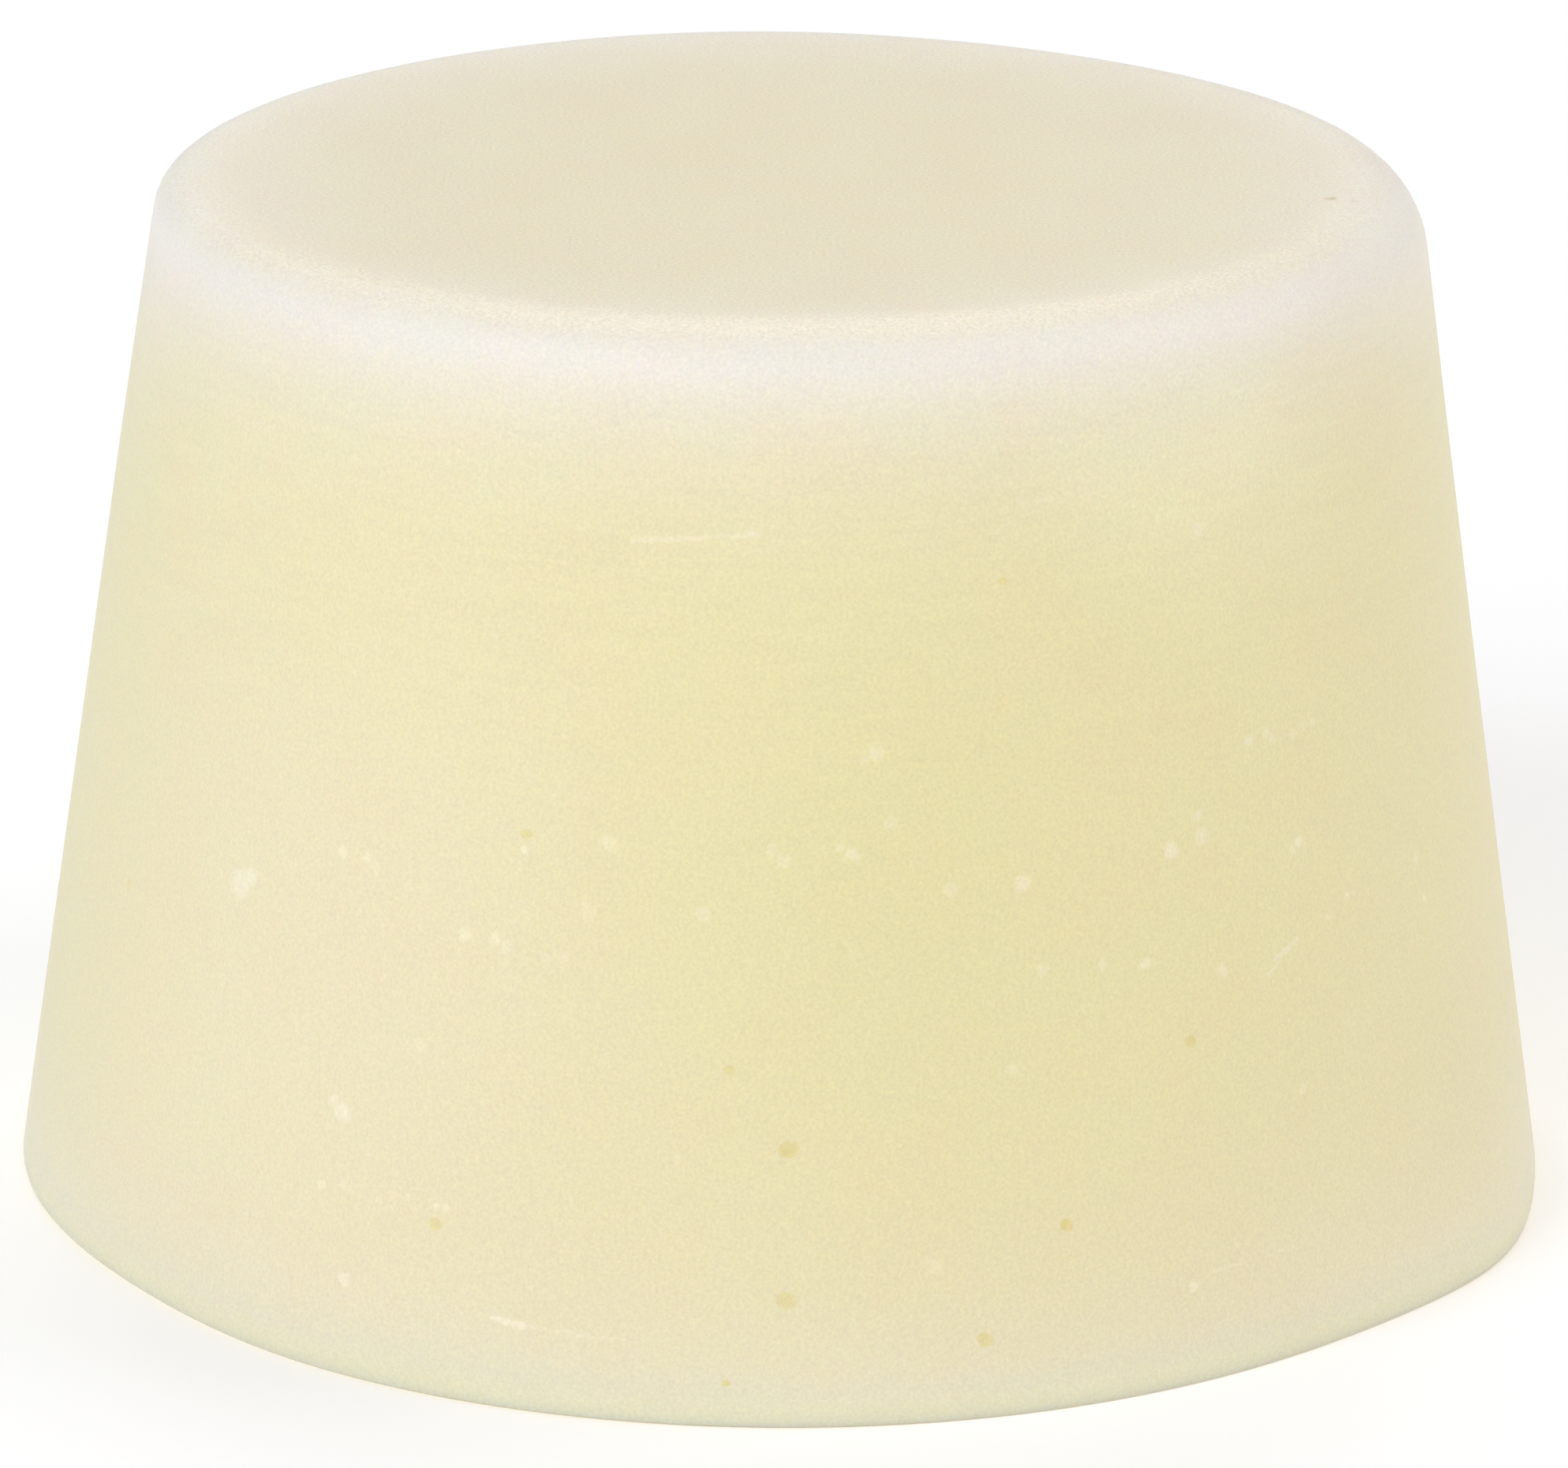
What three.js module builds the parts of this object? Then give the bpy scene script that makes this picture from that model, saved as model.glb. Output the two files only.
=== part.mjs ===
// A shaving soap puck: one poured block of hard soap, turned out of a drafted round mould.
// It is a low frustum that stands on its wider face, with a soft rounded rim round the top
// and a slightly eased edge round the foot.
// Millimetres, +Z up, with the origin at the middle of the face that it stands on.

import * as THREE from 'three';

// Driving dimensions. Each diameter is the one across its corner before the corner is rounded.
const BASE_DIAMETER = 61;
const TOP_DIAMETER = 49;
const HEIGHT = 40;
const TOP_RIM_RADIUS = 2.5;
const FOOT_EDGE_RADIUS = 0.5;

// How finely the round shapes are divided.
const TURN_SEGMENTS = 96;
const RIM_STEPS = 9;
const FOOT_EDGE_STEPS = 4;

// Hard tallow soap: a pale ivory yellow with a waxy, half-matt skin.
const SOAP_IVORY = 0xece4be;
const SOAP_ROUGHNESS = 0.5;

// The difference between two directions, as the shorter way round the circle.
function shorterTurn(fromAngle, toAngle) {
  const turn = toAngle - fromAngle;
  return Math.atan2(Math.sin(turn), Math.cos(turn));
}

// The points of an arc that rounds the corner between two straight stretches of an outline
// and meets each of them at a tangent.
function roundedCorner(before, corner, after, radius, steps) {
  const backwards = before.clone().sub(corner).normalize();
  const onwards = after.clone().sub(corner).normalize();
  const halfAngle = Math.acos(backwards.dot(onwards)) / 2;
  const tangentLength = radius / Math.tan(halfAngle);
  const start = corner.clone().addScaledVector(backwards, tangentLength);
  const end = corner.clone().addScaledVector(onwards, tangentLength);
  const inwards = backwards.clone().add(onwards).normalize();
  const centre = corner.clone().addScaledVector(inwards, radius / Math.sin(halfAngle));
  const startAngle = start.clone().sub(centre).angle();
  const turn = shorterTurn(startAngle, end.clone().sub(centre).angle());
  const points = [];
  for (let step = 0; step <= steps; step += 1) {
    const angle = startAngle + (turn * step) / steps;
    const spoke = new THREE.Vector2(Math.cos(angle), Math.sin(angle));
    points.push(centre.clone().addScaledVector(spoke, radius));
  }
  return points;
}

// Half of the puck's section, from the middle of the foot, out and up the drafted side,
// to the middle of the top. X is the distance from the axis and Y is the height.
function puckOutline() {
  const footMiddle = new THREE.Vector2(0, 0);
  const footCorner = new THREE.Vector2(BASE_DIAMETER / 2, 0);
  const topCorner = new THREE.Vector2(TOP_DIAMETER / 2, HEIGHT);
  const topMiddle = new THREE.Vector2(0, HEIGHT);
  return [
    footMiddle,
    ...roundedCorner(footMiddle, footCorner, topCorner, FOOT_EDGE_RADIUS, FOOT_EDGE_STEPS),
    ...roundedCorner(footCorner, topCorner, topMiddle, TOP_RIM_RADIUS, RIM_STEPS),
    topMiddle,
  ];
}

// The block itself: the outline turned about its axis, which is then stood up along +Z.
function makeSoapPuck() {
  const geometry = new THREE.LatheGeometry(puckOutline(), TURN_SEGMENTS);
  geometry.rotateX(Math.PI / 2);
  const soap = new THREE.MeshStandardMaterial({
    color: SOAP_IVORY,
    roughness: SOAP_ROUGHNESS,
    metalness: 0,
  });
  const puck = new THREE.Mesh(geometry, soap);
  puck.name = 'soap_puck';
  return puck;
}

const part = new THREE.Group();
part.add(makeSoapPuck());

export default part;
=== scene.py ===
"""A puck of hard shaving soap on a white studio sweep.

The block was cast in a drafted round mould and turned out on its wide face. It is one piece,
so all of the work is in its shape, its marks and its translucent, waxy skin.
"""

import logging
import math
from dataclasses import dataclass, field
from enum import Enum
from typing import Any

import bpy
from mathutils import Matrix, Vector


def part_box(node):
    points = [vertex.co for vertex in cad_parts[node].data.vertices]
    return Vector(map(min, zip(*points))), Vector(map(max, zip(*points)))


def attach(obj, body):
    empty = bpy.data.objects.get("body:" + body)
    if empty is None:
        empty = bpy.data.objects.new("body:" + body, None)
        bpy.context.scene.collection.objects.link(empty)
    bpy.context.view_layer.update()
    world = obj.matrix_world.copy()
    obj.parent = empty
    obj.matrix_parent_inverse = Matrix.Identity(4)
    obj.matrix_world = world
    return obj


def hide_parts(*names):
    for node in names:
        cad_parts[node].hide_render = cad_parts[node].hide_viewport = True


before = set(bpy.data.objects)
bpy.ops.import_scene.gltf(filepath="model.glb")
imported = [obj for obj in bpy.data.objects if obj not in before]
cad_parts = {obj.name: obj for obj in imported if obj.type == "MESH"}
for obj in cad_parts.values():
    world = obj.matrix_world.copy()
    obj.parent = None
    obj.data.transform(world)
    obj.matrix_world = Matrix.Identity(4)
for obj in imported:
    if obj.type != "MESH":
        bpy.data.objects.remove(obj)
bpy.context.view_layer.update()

Tree = bpy.types.NodeTree
Node = bpy.types.Node
Socket = bpy.types.NodeSocket

MATH, VECTOR, RANGE = "ShaderNodeMath", "ShaderNodeVectorMath", "ShaderNodeMapRange"
MM = 0.001
log = logging.getLogger("soap")


def linear(hex_colour: str) -> tuple[float, float, float, float]:
    """Turn an sRGB hex colour into a linear one.

    Args:
        hex_colour: Six hex digits after a hash sign.

    Returns:
        Linear red, green and blue, and an alpha of one.
    """
    parts = [int(hex_colour[i : i + 2], 16) / 255 for i in (1, 3, 5)]
    red, green, blue = (p / 12.92 if p <= 0.04045 else ((p + 0.055) / 1.055) ** 2.4 for p in parts)
    return red, green, blue, 1.0


def add(tree: Tree, kind: str, inputs: dict[str | int, Any] | None = None, **settings: Any) -> Node:
    """Add one node to a tree, with its settings and its links.

    Args:
        tree: The shader or geometry tree that gets the node.
        kind: The node's type name.
        inputs: What each input gets, by name or number: a socket is linked, a value is set.
        settings: The node's own properties.

    Returns:
        The new node.
    """
    node = tree.nodes.new(kind)
    for name, value in settings.items():
        setattr(node, name, value)
    for key, value in (inputs or {}).items():
        if isinstance(value, Socket):
            tree.links.new(value, node.inputs[key])
        else:
            node.inputs[key].default_value = value
    return node


@dataclass(frozen=True)
class Section:
    """The block's section: a drafted side between a flat foot and a flat top, in metres."""

    height: float
    foot: float
    draft: float = math.atan(6 / 40)
    foot_round: float = 0.15 * MM

    @classmethod
    def from_node(cls, node: str) -> "Section":
        """Take the overall sizes from a CAD node.

        Args:
            node: The node's name.

        Returns:
            The section that fills that node's box.
        """
        low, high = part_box(node)
        corner_half = (math.pi / 2 - cls.draft) / 2
        eased_off = cls.foot_round * (1 / math.tan(corner_half) - 1)
        return cls(height=high.z - low.z, foot=(high.x - low.x) / 2 + eased_off)

    @property
    def top(self) -> float:
        """Radius of the top face at its sharp corner."""
        return self.foot - self.height * math.tan(self.draft)

    def on_side(self, turn: float, height: float) -> Vector:
        """Find a point on the drafted side.

        Args:
            turn: Degrees round from the front, positive to the right.
            height: Metres above the foot.

        Returns:
            The point.
        """
        radius = self.foot - height * math.tan(self.draft)
        angle = math.radians(turn)
        return Vector((radius * math.sin(angle), -radius * math.cos(angle), height))

    def side_normal(self, turn: float) -> Vector:
        """Find the way that the drafted side faces.

        Args:
            turn: Degrees round from the front, positive to the right.

        Returns:
            The outward normal.
        """
        angle = math.radians(turn)
        level = math.cos(self.draft)
        return Vector((level * math.sin(angle), -level * math.cos(angle), math.sin(self.draft)))


class Blemish(Enum):
    """What a small mark in the side is."""

    BUBBLE = "air trapped under the skin"
    # A pit's darker bottom is painted shade in the hollow.
    PIT = "a burst bubble, with damp darker soap at its bottom"
    SCUFF = "a rubbed or crumbled place"


@dataclass(frozen=True)
class Mark:
    """One blemish in the side: turn in degrees from the front, height and width in millimetres."""

    turn: float
    height: float
    width: float
    strength: float = 1.0


@dataclass(frozen=True)
class Scratch:
    """A fine straight scrape in the side, between two places given as (degrees, millimetres)."""

    start: tuple[float, float]
    end: tuple[float, float]
    width: float = 0.16
    strength: float = 1.0


@dataclass(frozen=True)
class Chain:
    """A string of small air bubbles between two places given as (degrees, millimetres)."""

    start: tuple[float, float]
    end: tuple[float, float]
    count: int
    width: float

    def bubbles(self) -> list[Mark]:
        """Space the bubbles along the chain, a little unevenly."""
        found = []
        for number in range(self.count):
            share = (number + 0.3 * math.sin(2.4 * number)) / (self.count - 1)
            turn = self.start[0] + share * (self.end[0] - self.start[0])
            height = self.start[1] + share * (self.end[1] - self.start[1]) + 0.15 * math.sin(1.7 * number)
            found.append(Mark(turn, height, self.width, 0.7 + 0.3 * math.cos(number)))
        return found


@dataclass(frozen=True)
class Dent:
    """A small nick in the top face, at so many millimetres across and back from the axis."""

    across: float
    back: float
    width: float

    def place(self, section: Section) -> Vector:
        """Find the nick's middle on the top face."""
        return Vector((self.across * MM, self.back * MM, section.height))


@dataclass(frozen=True)
class PaleBand:
    """A band of painted light round the block, paler by how it fades away from a corner.

    It is palest on a ring that lies so many millimetres inwards and down from the corner. The
    fade starts `full` millimetres from that ring, and takes `reach` to fall to about a third.
    """

    reach: float
    peak: float = 1.0
    full: float = 0.0
    inwards: float = 0.0
    down: float = 0.0


@dataclass(frozen=True)
class Patch:
    """A wide soft place painted paler or yellower than its neighbourhood.

    Turn is in degrees from the front, and height and reach are in millimetres.
    """

    turn: float
    height: float
    reach: float
    colour: str


@dataclass(frozen=True)
class Swell:
    """A place where the soap left the mould a little out of round.

    Turn and spread are in degrees, and amount is in millimetres, outwards. It fades over the
    height of the block, from its foot or from its rim.
    """

    turn: float
    amount: float
    spread: float
    at_foot: bool


# A mark gives its turn, height and width, and its strength where that is below one.
MARKS = {
    Blemish.PIT: (
        Mark(0.8, 10.4, 0.80), Mark(21.2, 6.9, 0.60), Mark(0.6, 4.8, 0.80, 0.4),
        Mark(14.8, 3.0, 0.70, 0.6), Mark(32.3, 12.9, 0.60), Mark(-19.8, 21.4, 0.45, 0.8),
        Mark(18.1, 30.8, 0.35, 0.8), Mark(-3.6, 13.3, 0.45, 0.6), Mark(-25.5, 6.5, 0.60, 0.5),
        Mark(-62.2, 15.0, 0.60, 0.5), Mark(-3.6, 1.7, 0.35, 0.9), Mark(82.3, 4.3, 0.70, 0.8),
    ),
    Blemish.SCUFF: (
        Mark(-46.4, 17.2, 1.3, 0.8), Mark(-45.3, 17.6, 0.8, 0.8), Mark(-34.0, 9.9, 0.90, 0.8),
        Mark(-34.8, 10.3, 0.50, 0.7), Mark(-32.7, 3.7, 0.60, 0.9), Mark(-19.9, 20.8, 0.35, 0.8),
        Mark(31.1, 3.7, 0.50, 1.0), Mark(34.6, 20.4, 0.80, 0.5), Mark(34.4, 21.2, 0.45, 0.5),
        Mark(31.6, 20.1, 0.75, 0.7),
    ),
    Blemish.BUBBLE: (
        Mark(18.8, 19.7, 0.75, 0.9), Mark(13.1, 19.7, 0.60, 0.6), Mark(44.4, 19.2, 0.55, 1.0),
        Mark(43.6, 19.0, 0.40, 0.8), Mark(35.6, 15.3, 0.60, 0.9), Mark(28.7, 16.1, 0.55, 0.9),
        Mark(25.0, 16.3, 0.50, 0.7), Mark(20.1, 16.5, 0.65, 0.7), Mark(5.6, 21.2, 0.60, 0.8),
        Mark(4.6, 21.5, 0.45, 0.7), Mark(0.3, 21.0, 0.65, 0.6), Mark(-0.6, 21.4, 0.50, 0.5),
        Mark(7.5, 24.9, 0.70, 0.6), Mark(6.5, 24.6, 0.50, 0.5), Mark(8.6, 22.3, 0.55, 0.5),
        Mark(36.2, 31.6, 0.70, 0.9), Mark(35.4, 32.1, 0.40, 0.6), Mark(42.5, 10.0, 0.45, 0.8),
        Mark(60.4, 14.9, 0.45, 0.8), Mark(59.8, 16.6, 0.50, 0.7), Mark(17.3, 12.9, 0.55, 0.6),
        Mark(-27.7, 13.0, 0.60, 0.6), Mark(-14.6, 18.8, 0.80, 0.5), Mark(-13.2, 21.4, 0.70, 0.7),
        Mark(-5.8, 19.0, 0.70, 0.6), Mark(-7.5, 9.9, 0.50, 0.5), Mark(11.2, 5.9, 0.80, 0.5),
    ),
}
SCRATCHES = (
    Scratch((-20.5, 3.4), (-18.3, 3.25), 0.30, 1.0),
    Scratch((-18.3, 3.25), (-10.8, 3.1), 0.18, 0.4),
    Scratch((-12.2, 32.4), (-1.9, 32.8), 0.22, 0.5),
    Scratch((33.0, 4.1), (40.4, 4.2), 0.18, 0.4),
    Scratch((19.7, 33.5), (26.8, 33.7), 0.20, 0.35),
    Scratch((40.9, 15.1), (43.3, 15.6), 0.30, 0.7),
    Scratch((40.0, 14.6), (41.2, 15.0), 0.22, 0.6),
)
CHAINS = (
    Chain((40.0, 23.4), (47.5, 23.3), 6, 0.50),
    Chain((-35.4, 7.0), (-24.3, 7.3), 8, 0.40),
    Chain((-24.4, 17.4), (-16.3, 17.0), 5, 0.60),
    Chain((-36.0, 19.6), (-28.0, 18.8), 5, 0.50),
    Chain((47.0, 16.0), (53.0, 17.0), 4, 0.35),
)
DENTS = (Dent(21.0, -4.5, 0.55), Dent(21.9, -4.7, 0.30))
# The large pale place on the left front, where the key light falls, is a painted sheen of that light. The
# other two are painted paler or yellower.
PATCHES = (
    Patch(-37.0, 15.0, 25.0, "#ebe1c0"),
    Patch(10.0, 21.0, 15.0, "#e8e0b2"),
    Patch(38.0, 35.0, 9.0, "#eee8be"),
)
SWELLS = (
    Swell(64.0, 0.7, 9.0, at_foot=True),
    Swell(-55.0, -0.3, 10.0, at_foot=True),
    Swell(-123.0, -0.3, 20.0, at_foot=False),
    Swell(115.0, 0.2, 15.0, at_foot=False),
    Swell(184.0, 0.4, 16.0, at_foot=False),
)


@dataclass(frozen=True)
class CastSoap:
    """Hard tallow soap, cast hot and turned out of its mould once set.

    Light goes a few millimetres into it, so it glows and its shading is soft. The middle of the
    side is the yellowest. Its edges are painted paler: painted highlight and glow along the rim,
    painted glow of floor light along the foot and painted reflection along the far rim. Its skin
    is half matt, with the fine grain of pressed wax.
    """

    name: str = "cast_tallow_soap"
    damp: str = "#eae1b5"
    open_top: str = "#ebe1c2"
    # Painted highlight and glow of light through the thin rim, laid along the rim and just inside it on
    # top.
    painted_rim_highlight: str = "#ebe6df"
    # Painted reflection of the bright surroundings along the far rim.
    painted_far_rim_reflection: str = "#f3eee8"
    # Painted glow of light from the floor, coming in through the thin lower edge.
    painted_floor_glow: str = "#ebe3d0"
    # Painted light: a warm lift at the foot's edge that makes up for the red light the translucency loses
    # into the shade under the foot.
    painted_foot_lift: str = "#fcedc3"
    # Painted shade in the pits and in the cut hollows.
    painted_pit_shade: str = "#e8dda9"
    # Painted shade in the nicks in the top face.
    painted_dent_shade: str = "#d9cdb4"
    pale_bubble: str = "#f2e9ca"
    rubbed: str = "#f4ebd3"
    warm_blush: str = "#fffefb"
    cool_blush: str = "#fefffc"
    ior: float = 1.45
    roughness: float = 0.5
    roughness_spread: float = 0.2
    scatter: tuple[float, float, float] = (1.0, 0.8, 0.45)
    scatter_depth: float = 4 * MM
    # The bands are painted light: glow of floor light along the foot, highlight and glow along the rim
    # and just inside it on top, and reflection along the far rim.
    foot_band: PaleBand = PaleBand(reach=4.5, peak=0.9, full=0.5)
    rim_band: PaleBand = PaleBand(reach=2.8, full=0.6, inwards=0.6, down=1.4)
    top_band: PaleBand = PaleBand(reach=3.1, peak=0.9)
    back_band: PaleBand = PaleBand(reach=3.5)
    # The back band, a painted reflection along the far rim, comes in between these places on the axis
    # that points backwards.
    back_from: float = -14 * MM
    back_full: float = -4 * MM
    back_strength: float = 0.6
    # How high the painted light at the foot's edge reaches.
    painted_foot_lift_height: float = 1.5 * MM
    # The side's colour gives way to the top's between these depths below the top.
    side_until: float = 0.7 * MM
    top_from: float = 0.1 * MM
    # Where a mark's colour begins and where it is full, as shares of the mark's radius.
    mark_edge: tuple[float, float] = (1.15, 0.45)
    dent_edge: tuple[float, float] = (1.2, 0.4)
    scratch_edge: tuple[float, float] = (1.3, 0.4)
    hollow_strength: float = 0.3
    cloud_width: float = 4.5 * MM
    cloud_range: tuple[float, float] = (0.38, 0.62)
    # Soap's own grain is a few hundredths of a millimetre or less. That is too fine to show, so
    # it is drawn coarser.
    grain_width: float = 0.125 * MM
    grain_contrast: float = 0.22
    extra_top_contrast: float = 0.2
    relief_strength: float = 0.25
    relief_depth: float = 0.03 * MM
    ragged_width: float = 0.5 * MM
    ragged_depth: float = 0.2 * MM
    line_length: float = 4.3 * MM
    line_spacing: float = 0.42 * MM
    line_strength: float = 0.05
    # The mould's lines come in between these shares of the height, and stop short of the rim.
    lines_from: float = 0.45
    lines_full: float = 0.75
    lines_end: float = 1 * MM
    lines_fade: float = 3 * MM

    def highest(self, tree: Tree, masks: list[Socket]) -> Socket:
        """Join masks into one that is the highest of them at each place.

        Args:
            tree: The material's tree.
            masks: The masks.

        Returns:
            The joined mask.
        """
        joined = masks[0]
        for mask in masks[1:]:
            joined = add(tree, MATH, {0: joined, 1: mask}, operation="MAXIMUM").outputs[0]
        return joined

    def spot(
        self,
        tree: Tree,
        place: Socket,
        centre: Vector,
        radius: float,
        edge: tuple[float, float] = (1.0, 0.0),
        strength: float = 1.0,
    ) -> Socket:
        """Mask a soft round spot.

        Args:
            tree: The material's tree.
            place: The position on the block.
            centre: The spot's middle.
            radius: The spot's radius.
            edge: Where the mask begins and where it is full, as shares of the radius.
            strength: The mask at the middle.

        Returns:
            The mask.
        """
        away = add(tree, VECTOR, {0: place, 1: centre}, operation="DISTANCE")
        return add(
            tree,
            RANGE,
            {
                "Value": away.outputs["Value"],
                "From Min": radius * edge[0],
                "From Max": radius * edge[1],
                "To Max": strength,
            },
            interpolation_type="SMOOTHSTEP",
        ).outputs[0]

    def marked(self, tree: Tree, place: Socket, kind: Blemish, section: Section) -> Socket:
        """Mask the marks of one kind in the side.

        Args:
            tree: The material's tree.
            place: The position on the block.
            kind: The kind of mark.
            section: The block's section.

        Returns:
            A mask: each mark's strength at its middle, and zero outside it.
        """
        marks = list(MARKS[kind])
        if kind is Blemish.BUBBLE:
            marks += [bubble for chain in CHAINS for bubble in chain.bubbles()]
        spots = []
        for mark in marks:
            centre = section.on_side(mark.turn, mark.height * MM)
            radius = mark.width * MM / 2
            spots.append(self.spot(tree, place, centre, radius, self.mark_edge, mark.strength))
        return self.highest(tree, spots)

    def dented(self, tree: Tree, place: Socket, section: Section) -> Socket:
        """Mask the dents in the top face.

        Args:
            tree: The material's tree.
            place: The position on the block.
            section: The block's section.

        Returns:
            A mask that is highest in each dent.
        """
        return self.highest(
            tree,
            [
                self.spot(tree, place, dent.place(section), dent.width * MM / 2, self.dent_edge)
                for dent in DENTS
            ],
        )

    def scraped(self, tree: Tree, place: Socket, section: Section) -> Socket:
        """Mask the scratches.

        Args:
            tree: The material's tree.
            place: The position on the block.
            section: The block's section.

        Returns:
            A mask that is highest along each scratch.
        """
        lines = []
        for scratch in SCRATCHES:
            start = section.on_side(scratch.start[0], scratch.start[1] * MM)
            end = section.on_side(scratch.end[0], scratch.end[1] * MM)
            run = end - start
            from_start = add(tree, VECTOR, {0: place, 1: start}, operation="SUBTRACT")
            share = add(
                tree,
                VECTOR,
                {0: from_start.outputs[0], 1: run / run.length_squared},
                operation="DOT_PRODUCT",
            )
            held = add(tree, "ShaderNodeClamp", {"Value": share.outputs["Value"]})
            reach = add(tree, VECTOR, {0: run, "Scale": held.outputs[0]}, operation="SCALE")
            off_line = add(
                tree,
                VECTOR,
                {0: from_start.outputs[0], 1: reach.outputs[0]},
                operation="SUBTRACT",
            )
            radius = scratch.width * MM / 2
            lines.append(
                self.spot(
                    tree, off_line.outputs[0], Vector(), radius, self.scratch_edge, scratch.strength
                )
            )
        return self.highest(tree, lines)

    def mould_lines(self, tree: Tree, place: Socket, section: Section) -> Socket:
        """Draw the faint level lines that the mould's wall left on the upper side.

        Args:
            tree: The material's tree.
            place: The position on the block.
            section: The block's section.

        Returns:
            How bright each place is, about one.
        """
        long, fine = 1 / self.line_length, 1 / self.line_spacing
        drawn_out = add(tree, VECTOR, {0: place, 1: (long, long, fine)}, operation="MULTIPLY").outputs[0]
        lines = add(tree, "ShaderNodeTexNoise", {"Vector": drawn_out, "Scale": 1.0, "Detail": 1.0})
        centred = add(tree, MATH, {0: lines.outputs["Fac"], 1: 0.5}, operation="SUBTRACT")
        height = add(tree, "ShaderNodeSeparateXYZ", {0: place}).outputs["Z"]
        high_up = add(
            tree,
            RANGE,
            {
                "Value": height,
                "From Min": section.height * self.lines_from,
                "From Max": section.height * self.lines_full,
                "To Max": self.line_strength,
            },
        )
        below_top = add(
            tree,
            RANGE,
            {
                "Value": height,
                "From Min": section.height - self.lines_end,
                "From Max": section.height - self.lines_fade,
            },
        )
        shown = add(tree, MATH, {0: high_up.outputs[0], 1: below_top.outputs[0]}, operation="MULTIPLY")
        return add(
            tree,
            MATH,
            {0: centred.outputs[0], 1: shown.outputs[0], 2: 1.0},
            operation="MULTIPLY_ADD",
        ).outputs[0]

    def band(self, tree: Tree, flat: Socket, corner: tuple[float, float], band: PaleBand) -> Socket:
        """Mask a band of painted light round the block.

        Args:
            tree: The material's tree.
            flat: The position in the section: the distance from the axis, and the height.
            corner: The corner's radius and height.
            band: How the band lies and fades.

        Returns:
            The mask.
        """
        ring = (corner[0] - band.inwards * MM, corner[1] - band.down * MM, 0)
        away = add(tree, VECTOR, {0: flat, 1: ring}, operation="DISTANCE")
        power = add(
            tree,
            MATH,
            {
                0: away.outputs["Value"],
                1: -1 / (band.reach * MM),
                2: band.full / band.reach + math.log(band.peak),
            },
            operation="MULTIPLY_ADD",
        )
        decay = add(tree, MATH, {0: power.outputs[0]}, operation="EXPONENT")
        return add(tree, MATH, {0: decay.outputs[0], 1: band.peak}, operation="MINIMUM").outputs[0]

    def layered(self, tree: Tree, base: Any, layers: list[tuple[Socket, str]]) -> Socket:
        """Lay colours over a base colour, each through its mask.

        Args:
            tree: The material's tree.
            base: The colour underneath, as a value or a socket.
            layers: Each mask with its sRGB hex colour, from the lowest layer to the topmost.

        Returns:
            The colour.
        """
        colour = base
        # A Mix node's sockets 6 and 7 are the colours that it mixes.
        for mask, shade in layers:
            colour = add(
                tree, "ShaderNodeMix", {0: mask, 6: colour, 7: linear(shade)}, data_type="RGBA"
            ).outputs[2]
        return colour

    def coloured_with_painted_light(self, tree: Tree, place: Socket, on_top: Socket, section: Section) -> Socket:
        """Colour the soap, with painted light along its edges and in its patches.

        Args:
            tree: The material's tree.
            place: The position on the block.
            on_top: The mask of the top face.
            section: The block's section.

        Returns:
            The colour.
        """
        level = add(tree, VECTOR, {0: place, 1: (1, 1, 0)}, operation="MULTIPLY")
        radius = add(tree, VECTOR, {0: level.outputs[0]}, operation="LENGTH")
        height = add(tree, "ShaderNodeSeparateXYZ", {0: place}).outputs["Z"]
        flat = add(tree, "ShaderNodeCombineXYZ", {"X": radius.outputs["Value"], "Y": height}).outputs[0]
        # Painted light: a warm lift on the lowest part of the side, making up for red light lost into the
        # shade under the foot.
        at_foot = add(
            tree,
            RANGE,
            {"Value": height, "From Min": self.painted_foot_lift_height, "From Max": 0.0},
            interpolation_type="SMOOTHSTEP",
        ).outputs[0]
        foot, rim = (section.foot, 0.0), (section.top, section.height)
        layers = []
        # The patches: a painted sheen of the key light on the left front, and two places painted paler or
        # yellower.
        for patch in PATCHES:
            centre = section.on_side(patch.turn, patch.height * MM)
            layers.append((self.spot(tree, place, centre, patch.reach * MM), patch.colour))
        layers += [
            # Painted glow of floor light along the foot.
            (self.band(tree, flat, foot, self.foot_band), self.painted_floor_glow),
            # Painted warm light at the foot's edge.
            (at_foot, self.painted_foot_lift),
            # Painted highlight and glow along the rim.
            (self.band(tree, flat, rim, self.rim_band), self.painted_rim_highlight),
        ]
        side = self.layered(tree, linear(self.damp), layers)
        # Painted highlight and glow just inside the rim, on the top face.
        inside_rim = self.band(tree, flat, rim, self.top_band)
        top = self.layered(tree, linear(self.open_top), [(inside_rim, self.painted_rim_highlight)])
        both = add(tree, "ShaderNodeMix", {0: on_top, 6: side, 7: top}, data_type="RGBA").outputs[2]
        # Painted reflection along the far rim: only behind the axis, near the rim.
        behind = add(
            tree,
            RANGE,
            {
                "Value": add(tree, "ShaderNodeSeparateXYZ", {0: place}).outputs["Y"],
                "From Min": self.back_from,
                "From Max": self.back_full,
                "To Max": self.back_strength,
            },
            interpolation_type="SMOOTHSTEP",
        )
        near_rim = self.band(tree, flat, rim, self.back_band)
        far_rim = add(tree, MATH, {0: behind.outputs[0], 1: near_rim}, operation="MULTIPLY")
        # Lay the painted reflection over the far rim.
        return self.layered(tree, both, [(far_rim.outputs[0], self.painted_far_rim_reflection)])

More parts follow.
